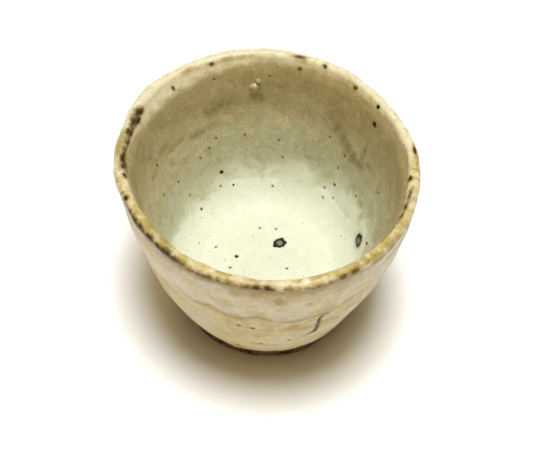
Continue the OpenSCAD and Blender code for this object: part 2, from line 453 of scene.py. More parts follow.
def add_mesh(name, points, faces, attributes, sharp=None):
    mesh = bpy.data.meshes.new(name)
    mesh.from_pydata(points.reshape(-1, 3).tolist(), [], faces)
    for key, values in attributes.items():
        set_mask(mesh, key, values)
    mesh.polygons.foreach_set("use_smooth", np.ones(len(mesh.polygons), bool))
    if sharp is not None:
        marked = {frozenset(e) for e in sharp}
        flags = [frozenset(e.vertices) in marked for e in mesh.edges]
        layer = mesh.attributes.new("sharp_edge", "BOOLEAN", "EDGE")
        layer.data.foreach_set("value", flags)
    mesh.validate()
    mesh.update()
    piece = bpy.data.objects.new(name, mesh)
    bpy.context.scene.collection.objects.link(piece)
    return piece


def ring_faces(rows, columns, closed):
    """Quads between rows of columns points that go round the cup."""
    faces = []
    for row in range(rows if closed else rows - 1):
        a = row * columns
        b = (row + 1) % rows * columns
        for c in range(columns):
            d = (c + 1) % columns
            faces.append((a + c, a + d, b + d, b + c))
    return faces


def shell(name, start, end, top, rows):
    """A closed coat of glaze between two edges, with its underside on the clay."""
    az = np.linspace(-math.pi, math.pi, COLUMNS, endpoint=False)
    q0, q1 = start(az), end(az)
    q_top = q0 + (q1 - q0) * np.linspace(0, 1, rows + 1)[:, None]
    q_under = q0 + (q1 - q0) * np.linspace(1, 0, UNDER_ROWS + 1)[:, None]
    t_top = top(np.broadcast_to(az, q_top.shape), q_top)
    q = np.concatenate([q_top, q_under])
    t = np.concatenate([t_top, np.zeros_like(q_under)])
    az = np.broadcast_to(az, q.shape)
    flat = turned(az, q, t)
    sharp = []
    for row in (0, rows, rows + 1, len(q) - 1):
        base = row * COLUMNS
        sharp += [(base + c, base + (c + 1) % COLUMNS) for c in range(COLUMNS)]
    return add_mesh(name, thrown(flat), ring_faces(len(q), COLUMNS, True), masks(az, q, flat), sharp)


def floor_middle(az):
    return np.full_like(az, AXIS_R)


def build_coats():
    inner = shell("inner_coat", floor_middle, lip_inner_edge, coat, INNER_ROWS)
    lip = shell("lip_coat", lip_inner_edge, lip_outer_edge, coat, LIP_ROWS)
    outer = shell("outer_coat", lip_outer_edge, bare_edge, coat, OUTER_ROWS)
    upper = shell("upper_coat", lip_outer_edge, second_edge, both_coats, UPPER_ROWS)
    return inner, lip, outer, upper


def build_clay():
    """The clay, from the middle of its underside round the foot and over the lip to the floor."""
    az = np.linspace(-math.pi, math.pi, COLUMNS // 2, endpoint=False)
    hollow_r = FOOT_R - FOOT_RING_W
    flat_r = hollow_r - FOOT_HOLLOW_SLOPE
    corner_r = [AXIS_R, flat_r, hollow_r, FOOT_R, FOOT_R + FOOT_BEVEL]
    corner_z = [FOOT_HOLLOW_H, FOOT_HOLLOW_H, 0, 0, FOOT_BEVEL]
    spans = zip(corner_r, corner_r[1:], FOOT_POINTS)
    under_r = np.concatenate([[AXIS_R], *(np.linspace(a, b, count)[1:] for a, b, count in spans)])
    under_z = np.interp(under_r, corner_r, corner_z)
    q_low = Q_FOOT - LOW_WALL
    q = np.concatenate([
        np.linspace(Q_FOOT, q_low, LOW_WALL_POINTS)[1:],
        np.linspace(q_low, AXIS_R, WALL_POINTS)[1:],
    ])
    r, z = skin(q, np.zeros_like(q))
    r = np.concatenate([under_r, r])[:, None] + 0 * az
    z = np.concatenate([under_z, z])[:, None] + 0 * az
    heel = smooth(FOOT_R - HEEL_FADE, FOOT_R, r) * (1 - smooth(0.3 * HEEL_H, HEEL_H, z))
    heel = heel * (1 + HEEL_WAVE * ring_waves(az, (3, 5, 9), 15) + HEEL_PATCH * bare_and_shade_patch(az))
    spiral = np.cos(2 * math.pi * r / TURN_W - az) * smooth(*TURN_R, r)
    spiral = spiral * (1 - smooth(flat_r - TURN_FADE, flat_r, r))
    under = len(under_r)
    z[:under] += TURN_H * spiral[:under]
    r = r + HEEL * heel
    points = thrown(np.stack([r * np.cos(az), r * np.sin(az), z], -1))
    faces = ring_faces(len(r), len(az), False)
    last = (len(r) - 1) * len(az)
    faces.append(tuple(range(len(az) - 1, -1, -1)))
    faces.append(tuple(range(last, last + len(az))))
    return add_mesh("clay_form", points, faces, {})


# Materials. A tone is a colour as seen on screen, 0 to 255, and a stop of a ramp is a place and a tone.
NOISE_GAIN = 2.2

# Inside, pale on the floor, grey green at the bend and tan on the wall, at heights in millimetres
INNER_STOPS = [
    (13, (236, 238, 214)), (18, (239, 242, 219)), (20.5, (228, 231, 202)), (23, (211, 210, 178)),
    (27, (202, 198, 164)), (32, (206, 199, 160)), (36, (213, 203, 158)), (42, (216, 199, 150)),
]
# Heights in millimetres between which the pool gives way to the wall
WALL_FROM = (19, 30)
RUN_TONE = (208, 188, 136)
SMUDGE_TONE = (158, 135, 84)
SMEAR_TONE = (138, 119, 66)
CURDLE_TONE = (224, 216, 184)
FLECK_TONE = (232, 226, 200)

# Outside, cream, whiter and a little pink where it was dipped twice, and brown at the foot, partly stain and
# partly painted contact shade
LOW_STOPS = [(0.1, (232, 212, 160)), (0.5, (245, 230, 184)), (0.9, (248, 238, 208))]
HIGH_STOPS = [(0.1, (247, 231, 186)), (0.5, (255, 243, 208)), (0.9, (254, 246, 226))]
# Brown at the foot, partly stain and partly painted contact shade
FOOT_STAIN_AND_SHADE_STOPS = [(0.3, (170, 140, 80)), (0.6, (112, 86, 46)), (0.9, (70, 52, 28))]
# Pale patches, partly pale glaze and partly painted light on the wall's lit left side
PALE_AND_LIT_TONE = (255, 248, 230)
WASH_TONE = (208, 174, 96)
# Painted shadow along the second dip's edge, under its ridge
EDGE_SHADOW_TONE = (160, 134, 84)
STAIN_TONE = (192, 160, 86)

# Lip, cream and ochre, with dark brown where the iron breaks through
LIP_STOPS = [
    (0.0, (254, 242, 202)), (0.2, (240, 219, 160)), (0.45, (213, 189, 119)), (0.7, (184, 157, 88)),
    (1.0, (146, 119, 65)),
]
CHAR_STOPS = [(0.2, (160, 132, 62)), (0.45, (122, 97, 46)), (0.7, (80, 60, 31)), (1.0, (46, 35, 22))]
BRINK_TONE = (142, 115, 58)
OLIVE_TONE = (184, 160, 84)

# Stain round the iron spots, specks too small to stand out, and a slight shade that multiplies the rest
HALO_TONE = (126, 100, 54)
SPECK_TONE = (106, 86, 50)
SHADE_STOPS = [(0.1, (230, 229, 223)), (0.9, (255, 255, 255))]

# Bare clay, iron from its edge to its core, brown iron, and the glaze beads
CLAY_STOPS = [(0.3, (74, 56, 36)), (0.5, (112, 88, 60)), (0.72, (148, 122, 88))]
IRON_STOPS = [(0.1, (60, 46, 24)), (0.25, (34, 27, 18)), (0.45, (52, 44, 34)), (0.75, (146, 135, 120))]
FAINT_TONE = (128, 104, 62)
BEAD_STOPS = [(0.35, (166, 148, 102)), (0.65, (198, 184, 142))]

# Gloss and roughness of the coats
POOL_FINISH = (0.2, 0.42)
LIP_FINISH = (0.18, 0.3)
WALL_FINISH = (0.1, 0.5)


class Nodes:
    """Short calls for a material's nodes."""

    def __init__(self, name):
        self.material = bpy.data.materials.new(name)
        self.material.use_nodes = True
        self.tree = self.material.node_tree
        self.shader = self.tree.nodes["Principled BSDF"]

    def put(self, socket, value):
        if hasattr(value, "is_output"):
            self.tree.links.new(value, socket)
        elif isinstance(value, tuple) and len(value) == 3 and socket.type == "RGBA":
            socket.default_value = (*value, 1)
        else:
            socket.default_value = value

    def attr(self, name):
        node = self.tree.nodes.new("ShaderNodeAttribute")
        node.attribute_name = name
        return node.outputs["Fac"]

    def place(self):
        return self.tree.nodes.new("ShaderNodeTexCoord").outputs["Object"]

    def noise(self, size, detail=3.0, roughness=0.55, warp=0.0, tall=1.0):
        """Noise about 0.5 with lumps of about the given size, drawn out upwards by tall."""
        node = self.tree.nodes.new("ShaderNodeTexNoise")
        squeeze = self.tree.nodes.new("ShaderNodeVectorMath")
        squeeze.operation = "MULTIPLY"
        self.tree.links.new(self.place(), squeeze.inputs[0])
        squeeze.inputs[1].default_value = (1, 1, 1 / tall)
        self.tree.links.new(squeeze.outputs[0], node.inputs["Vector"])
        node.inputs["Scale"].default_value = 1 / size
        node.inputs["Detail"].default_value = detail
        node.inputs["Roughness"].default_value = roughness
        node.inputs["Distortion"].default_value = warp
        centred = self.math("SUBTRACT", node.outputs["Fac"], 0.5)
        return self.math("ADD", self.math("MULTIPLY", centred, NOISE_GAIN), 0.5)

    def flecks(self, size, share, width):
        """Small dots in a share of the cells of a size. Their width is a share of the cell's."""
        cells = self.tree.nodes.new("ShaderNodeTexVoronoi")
        self.tree.links.new(self.place(), cells.inputs["Vector"])
        cells.inputs["Scale"].default_value = 1 / size
        split = self.tree.nodes.new("ShaderNodeSeparateColor")
        self.tree.links.new(cells.outputs["Color"], split.inputs[0])
        chosen = self.math("LESS_THAN", split.outputs[0], share)
        ragged = self.sway(cells.outputs["Distance"], (self.noise(0.3 * size, 3, 0.6), 0.5 * width))
        near = self.step(ragged, width, 0.5 * width)
        return self.math("MULTIPLY", chosen, near)

    def math(self, operation, a, b):
        node = self.tree.nodes.new("ShaderNodeMath")
        node.operation = operation
        self.put(node.inputs[0], a)
        self.put(node.inputs[1], b)
        return node.outputs[0]

    def sway(self, value, *moves):
        """The value, moved up and down by noises, each with a strength."""
        for noise, strength in moves:
            centred = self.math("SUBTRACT", noise, 0.5)
            value = self.math("ADD", value, self.math("MULTIPLY", centred, strength))
        return value

    def step(self, value, low, high):
        node = self.tree.nodes.new("ShaderNodeMapRange")
        node.interpolation_type = "SMOOTHSTEP"
        self.put(node.inputs["Value"], value)
        node.inputs["From Min"].default_value = low
        node.inputs["From Max"].default_value = high
        return node.outputs[0]

    def ramp(self, value, stops):
        node = self.tree.nodes.new("ShaderNodeValToRGB")
        self.put(node.inputs["Fac"], value)
        elements = node.color_ramp.elements
        while len(elements) < len(stops):
            elements.new(0.5)
        for element, (place, tone) in zip(elements, stops):
            element.position = place
            element.color = (*srgb(*tone), 1)
        return node.outputs["Color"]

    def mix(self, factor, a, b, blend="MIX"):
        node = self.tree.nodes.new("ShaderNodeMix")
        node.data_type = "RGBA"
        node.blend_type = blend
        self.put(node.inputs["Factor"], factor)
        self.put(node.inputs[6], a)
        self.put(node.inputs[7], b)
        return node.outputs[2]

    def tint(self, colour, mask, strength, tone):
        """The colour, moved towards a tone by a mask."""
        return self.mix(self.math("MULTIPLY", mask, strength), colour, srgb(*tone))

    def bump(self, height, distance, strength):
        node = self.tree.nodes.new("ShaderNodeBump")
        node.inputs["Strength"].default_value = strength
        node.inputs["Distance"].default_value = distance
        self.put(node.inputs["Height"], height)
        return node.outputs["Normal"]

    def finish(self, **sockets):
        for name, value in sockets.items():
            self.put(self.shader.inputs[name.replace("_", " ")], value)
        return self.material


def srgb(r, g, b):
    """A colour as seen on screen, 0 to 255, as the linear one that shaders take."""
    return tuple(((c / 255 + 0.055) / 1.055) ** 2.4 if c > 10 else c / 255 / 12.92 for c in (r, g, b))


def glaze_material(name, gloss, rough):
    n = Nodes(name)
    broad = n.noise(14 * MM, 3)
    cloud = n.noise(6 * MM, 5, 0.65, 0.5)
    mottle = n.noise(3 * MM, 4, 0.6, 0.4)
    fine = n.noise(1.5 * MM, 5, 0.7)
    grain = n.noise(0.7 * MM, 3, 0.6)
    flow = n.noise(5 * MM, 2, 0.5, 0.6)
    drawn = n.noise(4.5 * MM, 4, 0.6, 0.3, tall=4)
    drips = n.noise(3 * MM, 3, 0.5, 0.2, tall=9)

    # Inside
    streaked = n.math("MULTIPLY", n.attr("streaked"), 0.2)
    level = n.sway(n.attr("level"), (mottle, 0.05), (cloud, 0.08), (drips, streaked))
    inner = n.ramp(level, [(z * MM / CUP_H, tone) for z, tone in INNER_STOPS])
    wall = n.step(level, *(z * MM / CUP_H for z in WALL_FROM))
    run = n.step(n.sway(n.attr("run"), (cloud, 0.9), (fine, 0.3)), 0.1, 0.9)
    inner = n.tint(inner, run, 0.9, RUN_TONE)
    smudge = n.math("MULTIPLY", n.step(cloud, 0.45, 0.95), wall)
    inner = n.tint(inner, smudge, 0.4, SMUDGE_TONE)
    smear = n.step(n.sway(n.attr("smear"), (cloud, 0.3), (fine, 0.15)), 0.1, 0.95)
    inner = n.tint(inner, smear, 0.72, SMEAR_TONE)
    curdle = n.math("MULTIPLY", n.step(n.sway(grain, (mottle, 0.8)), 0.62, 1.1), wall)
    inner = n.tint(inner, curdle, 0.45, CURDLE_TONE)
    inner = n.tint(inner, n.flecks(1.9 * MM, 0.2, 0.16), 0.25, FLECK_TONE)

    # Outside
    streaks = n.sway(broad, (drawn, 0.7), (mottle, 0.4))
    upper = n.step(n.sway(n.attr("upper"), (fine, 0.3), (cloud, 0.4)), 0.1, 0.9)
    outer = n.mix(upper, n.ramp(streaks, LOW_STOPS), n.ramp(streaks, HIGH_STOPS))
    # Pale patches, partly pale glaze and partly painted light on the left side of the wall
    pale_and_lit = n.step(n.sway(n.attr("pale_and_lit"), (drawn, 0.4)), 0.2, 0.8)
    outer = n.tint(outer, pale_and_lit, 0.75, PALE_AND_LIT_TONE)
    wash = n.step(n.sway(n.attr("wash"), (drawn, 0.4), (fine, 0.3)), 0.1, 0.9)
    outer = n.tint(outer, wash, 0.75, WASH_TONE)
    # Painted shadow line under the second dip's edge and its ridge
    line = n.math("MULTIPLY", n.attr("edge_shadow"), n.step(cloud, 0.25, 0.6))
    outer = n.tint(outer, line, 0.6, EDGE_SHADOW_TONE)
    stain = n.step(n.sway(n.attr("stain"), (cloud, 0.9), (fine, 0.3)), 0.2, 1.0)
    outer = n.tint(outer, stain, 0.75, STAIN_TONE)
    # Brown towards the foot, partly stain and partly painted contact shade
    bare = n.sway(n.attr("bare"), (fine, 0.5), (cloud, 0.5))
    outer = n.mix(n.step(bare, 0.2, 0.75), outer, n.ramp(bare, FOOT_STAIN_AND_SHADE_STOPS))
    colour = n.mix(n.attr("outside"), inner, outer)

    # Lip
    gold = n.math("SUBTRACT", n.math("MULTIPLY", n.attr("gold"), 0.4), 0.15)
    lip = n.ramp(n.sway(gold, (flow, 0.8), (fine, 0.35)), LIP_STOPS)
    on_lip = n.step(n.sway(n.attr("lip"), (fine, 0.3), (cloud, 0.4)), 0.1, 0.9)
    colour = n.mix(on_lip, colour, lip)
    brink = n.step(n.sway(n.attr("brink"), (fine, 0.35), (flow, 0.7)), 0.25, 1.0)
    colour = n.tint(colour, brink, 0.55, BRINK_TONE)
    olive = n.step(n.sway(n.attr("olive"), (fine, 0.3), (mottle, 0.4)), 0.1, 0.9)
    colour = n.tint(colour, olive, 0.85, OLIVE_TONE)
    burn = n.math("MAXIMUM", n.attr("burn"), n.math("MULTIPLY", n.attr("charred"), 0.62))
    burn = n.sway(burn, (fine, 0.3), (mottle, 0.2))
    colour = n.mix(n.step(burn, 0.1, 0.7), colour, n.ramp(burn, CHAR_STOPS))

    # Stains, specks and shade
    halo = n.step(n.sway(n.attr("halo"), (fine, 0.4)), 0.3, 0.8)
    colour = n.tint(colour, halo, 0.7, HALO_TONE)
    colour = n.tint(colour, n.flecks(2.6 * MM, 0.4, 0.11), 0.6, SPECK_TONE)
    shade = n.ramp(n.sway(mottle, (grain, 0.7)), SHADE_STOPS)
    uneven = n.math("ADD", n.math("MULTIPLY", wall, 0.7), 0.3)
    colour = n.mix(uneven, colour, shade, "MULTIPLY")

    # Surface, with a few pits
    dull = n.sway(rough, (mottle, 0.08), (fine, 0.06))
    height = n.math("ADD", n.math("MULTIPLY", mottle, 0.5), n.math("MULTIPLY", grain, 0.3))
    height = n.math("SUBTRACT", height, n.flecks(1.1 * MM, 0.08, 0.16))
    normal = n.bump(height, 0.05 * MM, 0.5)
    return n.finish(Base_Color=colour, Roughness=dull, Specular_IOR_Level=gloss, Normal=normal)


def clay_material(name):
    n = Nodes(name)
    grit = n.noise(0.7 * MM, 4, 0.7)
    cloud = n.noise(8 * MM, 3)
    colour = n.ramp(n.sway(cloud, (grit, 0.8)), CLAY_STOPS)
    return n.finish(Base_Color=colour, Roughness=0.86, Normal=n.bump(grit, 0.25 * MM, 0.8))


def iron_material(name):
    n = Nodes(name)
    grain = n.noise(0.5 * MM, 3, 0.6)
    colour = n.ramp(n.sway(n.attr("core"), (grain, 0.5)), IRON_STOPS)
    colour = n.mix(n.attr("faint"), colour, srgb(*FAINT_TONE))
    rough = n.sway(0.5, (grain, 0.15))
    normal = n.bump(grain, 0.03 * MM, 0.5)
    return n.finish(Base_Color=colour, Roughness=rough, Specular_IOR_Level=0.1, Normal=normal)


def bead_material(name):
    n = Nodes(name)
    grain = n.noise(1.2 * MM, 3, 0.6)
    rough = n.sway(0.18, (grain, 0.1))
    normal = n.bump(grain, 0.04 * MM, 0.4)
    return n.finish(Base_Color=n.ramp(grain, BEAD_STOPS), Roughness=rough, Normal=normal)


# Camera, and the places on the cup that the photograph's pixels show
def build_camera():
    data = bpy.data.cameras.new("camera")
    data.sensor_width = SENSOR
    data.lens = FOCAL_PX / PHOTO_W * SENSOR
    data.clip_start = 0.01
    camera = bpy.data.objects.new("camera", data)
    back = Vector((0, -math.cos(CAMERA_ELEVATION), math.sin(CAMERA_ELEVATION)))
    camera.location = CAMERA_TARGET + CAMERA_DISTANCE * back
    camera.rotation_euler = (math.pi / 2 - CAMERA_ELEVATION, 0, 0)
    bpy.context.scene.collection.objects.link(camera)
    bpy.context.scene.camera = camera


def pixel_ray(x, y):
    """Start and direction of the ray through a pixel of the photograph."""
    e = CAMERA_ELEVATION
    ahead = Vector((0, math.cos(e), -math.sin(e)))
    above = Vector((0, math.sin(e), math.cos(e)))
    right = Vector((1, 0, 0))
    way = ahead + right * ((x - PHOTO_W / 2) / FOCAL_PX) + above * ((PHOTO_H / 2 - y) / FOCAL_PX)
    return CAMERA_TARGET - CAMERA_DISTANCE * ahead, way.normalized()


def surface_of(pieces):
    points, faces = [], []
    for piece in pieces:
        base = len(points)
        points += [v.co for v in piece.data.vertices]
        faces += [[base + i for i in p.vertices] for p in piece.data.polygons]
    return BVHTree.FromPolygons(points, faces)


def seen_at(surface, x, y):
    """Place on the cup, and its normal, at a pixel of the photograph."""
    start, way = pixel_ray(x, y)
    place, normal, _, _ = surface.ray_cast(start, way)
    if place is None:
        place, normal, _, _ = surface.find_nearest(start + CAMERA_DISTANCE * way)
    return place, normal if normal.dot(way) < 0 else -normal


def side_axes(normal):
    across = normal.cross(Vector((0, 0, 1)))
    if across.length < 0.2:
        across = Vector((1, 0, 0))
    across.normalize()
    return across, normal.cross(across).normalized()


# Marks in the glaze: pixel of the photograph, half lengths along the rim and across it in millimetres,
# and a strength
BURNS = [
    # Left, on the inner edge and then on the outer one
    (144, 106, 1.6, 0.7, 0.3), (141, 112, 1.8, 0.7, 0.85), (138.5, 120, 1.8, 0.75, 1.0),
    (132.5, 122.5, 1.8, 0.9, 0.5), (128.5, 131, 3.2, 1.0, 0.6), (126, 140, 3.2, 1.0, 0.6),
    (123.8, 150, 3.2, 1.0, 0.6), (122.8, 158, 2.4, 1.0, 0.85), (123, 166, 2.0, 0.9, 0.75),
    (125, 175.5, 1.6, 0.7, 0.7), (125.5, 198, 1.1, 0.9, 0.85), (123, 193, 1.6, 0.8, 0.4),
    (127, 206, 2.2, 0.9, 0.6), (130.5, 213.5, 2.2, 0.9, 0.8), (134, 220, 2.6, 1.2, 0.8),
    (140, 226, 1.6, 0.9, 0.7), (141, 230, 2.7, 1.0, 0.7), (149, 238, 2.2, 1.4, 0.9),
    (157, 246, 2.8, 1.2, 0.7), (164.5, 252, 3.0, 1.6, 0.75), (170, 252, 1.2, 1.0, 0.6),
    (175, 260, 3.2, 1.2, 0.65), (182, 264, 2.7, 1.1, 0.5),
    # Front, on the outer edge
    (189, 270, 2.6, 1.0, 0.5), (197, 273.5, 2.8, 1.0, 0.55), (206, 277, 3.0, 1.1, 0.6),
    (218, 281, 3.0, 1.1, 0.45), (231, 284.5, 3.4, 1.2, 0.45), (246, 287, 2.4, 1.1, 0.6),
    (256, 288.5, 2.6, 1.2, 0.7), (268, 289.5, 2.4, 1.2, 0.7), (288, 289.5, 2.0, 1.0, 0.5),
    (299, 289, 2.0, 0.9, 0.35), (309, 288.5, 2.4, 0.9, 0.4), (321, 286, 3.2, 1.0, 0.45),
    (334, 282, 2.8, 1.1, 0.5), (345, 276.5, 2.6, 1.2, 0.55), (355, 271, 2.8, 1.1, 0.5),
    (367, 263.5, 3.0, 1.0, 0.4), (379, 254, 2.8, 0.9, 0.35), (391, 243.5, 2.8, 0.9, 0.3),
    # Right
    (410, 178.5, 1.1, 0.8, 1.0), (409.8, 195, 3.4, 0.8, 0.6), (406, 206, 3.6, 0.8, 0.65),
    (400.5, 217, 3.6, 0.8, 0.6), (393, 228, 3.6, 0.8, 0.5), (384.5, 238, 3.6, 0.7, 0.4),
    (415, 151, 2.6, 0.6, 0.75), (417, 164, 2.6, 0.5, 0.4),
    # Back
    (299, 53, 2.4, 0.6, 0.8), (212, 64, 1.2, 0.7, 0.7), (300, 69, 0.8, 0.6, 0.9),
    (325, 66, 0.9, 0.6, 0.8), (355.5, 88, 0.9, 0.7, 0.8), (173, 88, 0.6, 0.8, 0.8),
    # Chip at the foot
    (237.5, 349.5, 0.9, 0.6, 1.2),
]
# Olive stains on the lip. Each dark mark has one round it too, wider by OLIVE_SPREAD along and across the
# rim, and weaker by OLIVE_SHARE.
OLIVES = [
    (188, 71, 3.0, 1.1, 0.8), (197, 68, 2.4, 1.0, 0.6), (210, 64, 3.0, 1.0, 0.6),
    (228, 59, 3.4, 1.1, 0.8), (240, 57, 3.4, 1.1, 0.6), (251, 56, 2.6, 1.0, 0.5),
    (302, 59, 3.0, 1.6, 0.7), (345, 84, 3.0, 1.2, 0.6), (148, 226, 3.0, 1.6, 0.6),
    (160, 238, 3.0, 1.6, 0.6), (121, 185, 3.0, 1.2, 0.4), (400, 228, 4.0, 1.4, 0.6),
    (388, 243, 4.0, 1.4, 0.6), (374, 256, 4.0, 1.4, 0.6), (412, 200, 3.0, 1.2, 0.5),
    (119, 148, 5.0, 1.4, 1.0), (122, 136, 4.0, 1.4, 0.8),
]
OLIVE_SPREAD = (1.4, 2.0)
OLIVE_SHARE = 0.9
# Brown smears on the inner wall, where the upper glaze ran down
SMEARS = [
    (228, 104, 7.0, 3.2, 0.6), (213, 112, 5.0, 2.6, 0.5), (246, 100, 5.0, 2.6, 0.4),
    (261, 98, 1.4, 2.5, 0.8), (330, 118, 3.5, 4.5, 0.6), (338, 128, 2.8, 4.0, 0.7),
    (343, 138, 2.6, 4.0, 0.8), (348, 148, 2.4, 3.5, 0.85), (353, 157, 2.4, 3.0, 0.9),
    (359, 164, 2.8, 2.0, 1.0), (368, 166, 2.8, 1.6, 0.7), (362, 158, 1.2, 2.2, 0.8),
    (365, 151, 1.0, 2.4, 0.8), (368, 143, 1.0, 2.4, 0.6), (150, 157, 4.0, 1.8, 0.5),
    (162, 151, 5.0, 1.8, 0.55), (178, 143, 5.0, 2.0, 0.6), (197, 134, 5.0, 2.0, 0.7),
    (213, 126, 4.0, 1.8, 0.6), (388, 152, 2.2, 6.0, 0.5), (392, 180, 2.2, 5.0, 0.4),
    (282, 90, 3.0, 3.0, 0.4), (310, 88, 4.0, 3.0, 0.4), (318, 160, 5.0, 2.5, 0.4),
]
# A crack where the glaze crawled apart, low on the front: pixel and half width in millimetres along it
CRAWL = [
    (329, 313, 0.5), (324, 315, 0.7), (320, 318.5, 0.8), (318.5, 323, 1.0), (317, 328, 1.2),
    (314.5, 331.5, 1.0), (309, 334, 0.7), (303, 336.5, 0.5),
]
CRAWL_STEPS = 4
CRAWL_BURN = 0.72
CRAWL_DEPTH = 0.12
# Tan washes on the outside, below the lip and low on the front
WASHES = [
    (238, 292.5, 4.0, 2.4, 0.8), (254, 294, 5.0, 2.8, 0.8), (270, 294, 4.0, 2.8, 0.8),
    (280, 302, 1.8, 3.0, 0.9), (292, 294, 4.0, 2.8, 0.9), (316, 290, 5.0, 2.4, 0.7),
    (340, 284, 3.5, 2.0, 0.6), (310, 304, 1.0, 0.9, 1.0), (292, 328, 3.0, 3.0, 0.9),
    (305, 328, 3.0, 3.5, 0.8), (324, 322, 3.5, 3.0, 0.6), (334, 318, 3.5, 4.0, 0.6),
    (230, 335, 6.0, 3.0, 0.5), (265, 345, 8.0, 2.0, 0.6), (160, 270, 2.0, 1.2, 0.4),
]
# Pale patches of the second dip, partly pale glaze and partly painted light that brightens the wall's left
# and side edges
PALE_AND_LIT_PATCHES = [
    (160, 268, 5.0, 3.0, 0.9), (180, 284, 6.0, 3.5, 1.0), (205, 300, 6.0, 3.0, 0.9),
    (232, 310, 4.5, 2.5, 0.9), (262, 309, 3.5, 2.5, 0.7), (290, 312, 3.5, 2.5, 0.8),
    (318, 302, 3.0, 2.5, 0.6), (352, 288, 3.5, 3.0, 0.8), (376, 268, 4.0, 3.0, 0.9),
]
# Low relief of the glaze, in the same form, with a height in millimetres
RELIEF = [
    (279, 289.5, 1.2, 0.9, 0.28), (262, 284, 2.2, 0.5, 0.12), (296, 285.5, 1.6, 0.5, 0.14),
    (236, 346.5, 1.6, 0.6, 0.35), (237.5, 349.5, 0.7, 0.5, -0.35), (345, 72.5, 2.0, 0.9, 0.15),
    (151, 97, 3.0, 1.0, 0.12),
]


def crawl_marks(strength):
    """Round marks close together along the crack."""
    steps = np.linspace(0, len(CRAWL) - 1, CRAWL_STEPS * (len(CRAWL) - 1) + 1)
    along = [np.interp(steps, range(len(CRAWL)), values) for values in zip(*CRAWL)]
    return [(x, y, half, half, strength) for x, y, half in zip(*along)]


def olive_marks():
    along, across = OLIVE_SPREAD
    return OLIVES + [(x, y, along * a, across * b, OLIVE_SHARE * strength) for x, y, a, b, strength in BURNS]


def points_of(piece):
    flat = np.empty(3 * len(piece.data.vertices))
    piece.data.vertices.foreach_get("co", flat)
    return flat.reshape(-1, 3)


def falloff(points, place, half_along, half_across):
    """How near points lie to a mark that is drawn out along the rim, from 0 to 1."""
    along = np.array([-place[1], place[0], 0]) / math.hypot(place[0], place[1])
    gap = points - np.array(place)
    far = gap @ along
    rest = (gap**2).sum(-1) - far**2
    return np.exp(-((far / (half_along * MM)) ** 2) - rest / (half_across * MM) ** 2)


def raise_relief(pieces, surface):
    for piece in pieces:
        points = points_of(piece)
        moved = points.copy()
        for x, y, half_along, half_across, height in RELIEF + crawl_marks(-CRAWL_DEPTH):
            place, normal = seen_at(surface, x, y)
            near = falloff(points, place, half_along, half_across)
            moved += height * MM * near[:, None] * np.array(normal)
        piece.data.vertices.foreach_set("co", moved.ravel())
        piece.data.update()


def paint(pieces, surface, key, marks):
    """Gives the pieces a mask of marks."""
    for piece in pieces:
        points = points_of(piece)
        total = np.zeros(len(points))
        for x, y, half_along, half_across, strength in marks:
            place = seen_at(surface, x, y)[0]
            total = np.maximum(total, strength * falloff(points, place, half_along, half_across))
        set_mask(piece.data, key, total)


# Iron spots: pixel of the photograph, diameter in millimetres
BIG_SPOTS = [(279.6, 243, 4.0), (358.5, 241, 5.0)]
SPOTS = [
    (221.5, 172, 1.5), (236.5, 256.5, 1.3), (378, 107, 1.6), (374.5, 124.5, 2.2), (334.5, 184.5, 1.0),
    (201.5, 209, 0.9), (233.5, 184.8, 1.0), (157, 165, 1.0), (366.7, 243.5, 1.3),
]
FAINT_SPOTS = [(252.7, 328.4, 1.5), (238.7, 325.4, 1.3), (289, 340, 1.2), (261, 343.5, 0.9)]
SPECKS = [
    (220.6, 186), (200.4, 158), (209.5, 148), (216, 138), (244.8, 134.6), (278.9, 140), (282.7, 157),
    (272.6, 186), (330, 137), (324.6, 187.5), (323, 197), (332.6, 198), (378.5, 192.5), (152.6, 178),
    (178.5, 182), (190, 195), (269.7, 76), (300, 69), (325.7, 67.5), (355.8, 88), (214, 79), (211, 64),
    (173.7, 89), (199.4, 243), (216, 247), (259.6, 228), (276, 229), (341, 236), (287, 268.5),
    (230, 267.5), (356, 196), (344.8, 156), (338, 168), (164, 195),
]
SPECK_D = 0.8
# How brown the small spots are, from 0 for black iron
SPECK_FAINT = 0.35
SPOT_FAINT = 0.75
# How much of the pale core the small spots show
SMALL_CORE = 0.45
# Rings and heights of the domes
BIG_DOME = (7, 0.14 * MM)
SPOT_DOME = (4, 0.1 * MM)
SPECK_DOME = (3, 0.06 * MM)
SPOT_SIDES = 28
# How far a dome's edge sinks into the glaze, and the share of its width and the height of its root
SPOT_SINK = 0.04 * MM
SPOT_ROOT = (0.9, -0.3 * MM)
# How far the stain round a spot reaches, in millimetres
HALO_REACH = 0.25


def spot(place, normal, width, seed, rings, dome):
    """A ragged low dome of iron on the glaze: points, faces, and how near each point is to its middle."""
    rng = np.random.default_rng(seed)
    across, along = side_axes(normal)
    angle = np.linspace(0, 2 * math.pi, SPOT_SIDES, endpoint=False)
    ragged = 1 + 0.1 * ring_waves(angle, (2, 3, 5, 7), seed) + rng.uniform(-0.04, 0.04, SPOT_SIDES)
    points, core = [], []
    shares = np.linspace(1, 1 / rings, rings)
    heights = dome * (1 - shares**2) - SPOT_SINK
    levels = [SPOT_ROOT, *zip(shares, heights)]
    for share, height in levels:
        for a, wide in zip(angle, ragged):
            reach = width / 2 * share * (1 + (wide - 1) * min(1, share * 1.2))
            aside = across * (reach * math.cos(a)) + along * (reach * math.sin(a))
            points.append(place + aside + normal * height)
            core.append(1 - share)
    faces = ring_faces(len(levels), SPOT_SIDES, False)
    last = (len(levels) - 1) * SPOT_SIDES
    faces.append(tuple(range(SPOT_SIDES - 1, -1, -1)))
    faces.append(tuple(range(last, last + SPOT_SIDES)))
    return points, faces, core


def halo_marks():
    """Stains in the glaze round the iron spots, as marks."""
    sizes = BIG_SPOTS + SPOTS + FAINT_SPOTS + [(x, y, SPECK_D) for x, y in SPECKS]
    return [(x, y, 0.5 * d + HALO_REACH, 0.5 * d + HALO_REACH, 1.0) for x, y, d in sizes]


